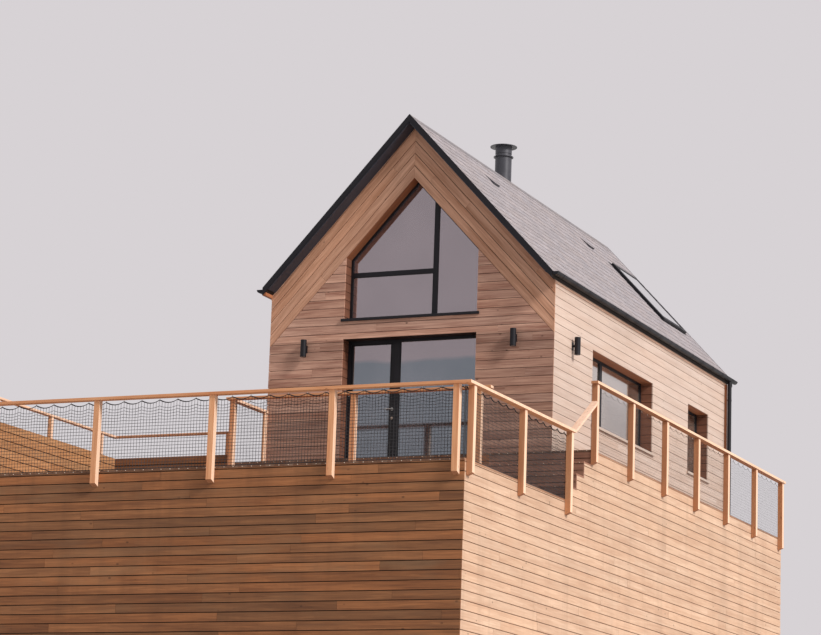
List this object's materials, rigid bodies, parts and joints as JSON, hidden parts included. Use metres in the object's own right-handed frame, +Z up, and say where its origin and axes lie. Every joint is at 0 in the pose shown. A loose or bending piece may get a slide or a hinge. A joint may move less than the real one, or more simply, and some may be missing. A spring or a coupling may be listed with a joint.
{
  "type": "holiday lodge",
  "caption": "Gabled timber-clad holiday lodge with slate roof and flue, on a raised boarded deck with a short stair, netted guard rails, terrace, side walkway and a hinged glazed door.",
  "frame": {"origin": "middle of the whole lodge's plan, on the lowest ground that its walls and skirts meet", "axes": "+Z up, +Y from the deck's front edge to the house's rear gable, +X to the right seen from the front"},
  "size_m": [8.89, 16.366, 10.4401],
  "materials": {
    "skirt_boards": "weathered softwood boards",
    "deck_boards": "weathered decking",
    "wall_boards": "pale larch boards",
    "rail_timber": "fresh orange timber",
    "netting": "black knotted mesh",
    "slate": "grey natural slate",
    "dark_metal": "anthracite satin paint",
    "flue_metal": "matt black heat paint",
    "glass": "clear double glazing",
    "floor_boards": "plain floor boards",
    "steel": "satin",
    "lead": "dull grey lead sheet"
  },
  "bodies": {
    "lodge": {"front_skirt": "skirt_boards", "side_skirt": "skirt_boards", "end_skirts": "skirt_boards", "left_deck_wall": "skirt_boards", "garden_wall": "skirt_boards", "terrace_fascia": "skirt_boards", "deck_floor": "deck_boards", "upper_deck_floor": "deck_boards", "stair_treads": "deck_boards", "stair_risers": "skirt_boards", "stair_carriages": "skirt_boards", "deck_posts": "rail_timber", "upper_posts": "rail_timber", "low_posts": "rail_timber", "lower_handrail": "rail_timber", "stair_handrail": "rail_timber", "walkway_handrail": "rail_timber", "terrace_handrail": "rail_timber", "low_handrail": "rail_timber", "netting": "netting", "front_wall_sides": "wall_boards", "front_wall_middle": "wall_boards", "rear_wall_sides": "wall_boards", "rear_wall_middle": "wall_boards", "side_walls_lower": "wall_boards", "right_wall_upper": "wall_boards", "left_wall_upper": "wall_boards", "house_floors": "floor_boards", "roof_left": "slate", "roof_right": "slate", "ridge_cap": "slate", "verge_trims": "dark_metal", "gutters": "dark_metal", "downpipes": "dark_metal", "flue_pipe": "flue_metal", "flue_cowl": "flue_metal", "flue_flashing": "lead", "roof_window": "dark_metal", "roof_window_glass": "glass", "roof_vents": "slate", "gable_window_frame": "dark_metal", "window_frames": "dark_metal", "window_glass": "glass", "window_linings": "rail_timber", "window_sills": "dark_metal", "door_frame": "dark_metal", "hinge_pins": "steel", "wall_lamps": "dark_metal"},
    "door": {"door_leaf": "dark_metal", "door_leaf_glass": "glass", "door_handle": "steel", "hinge_barrels": "steel"}
  },
  "joints": [
    {"name": "door_swing", "type": "hinge", "parent": "lodge", "child": "door", "pos_m": [-0.651, -1.3137, 4.665], "axis": [0, 0, 1], "range_deg": [0, 90]}
  ]
}
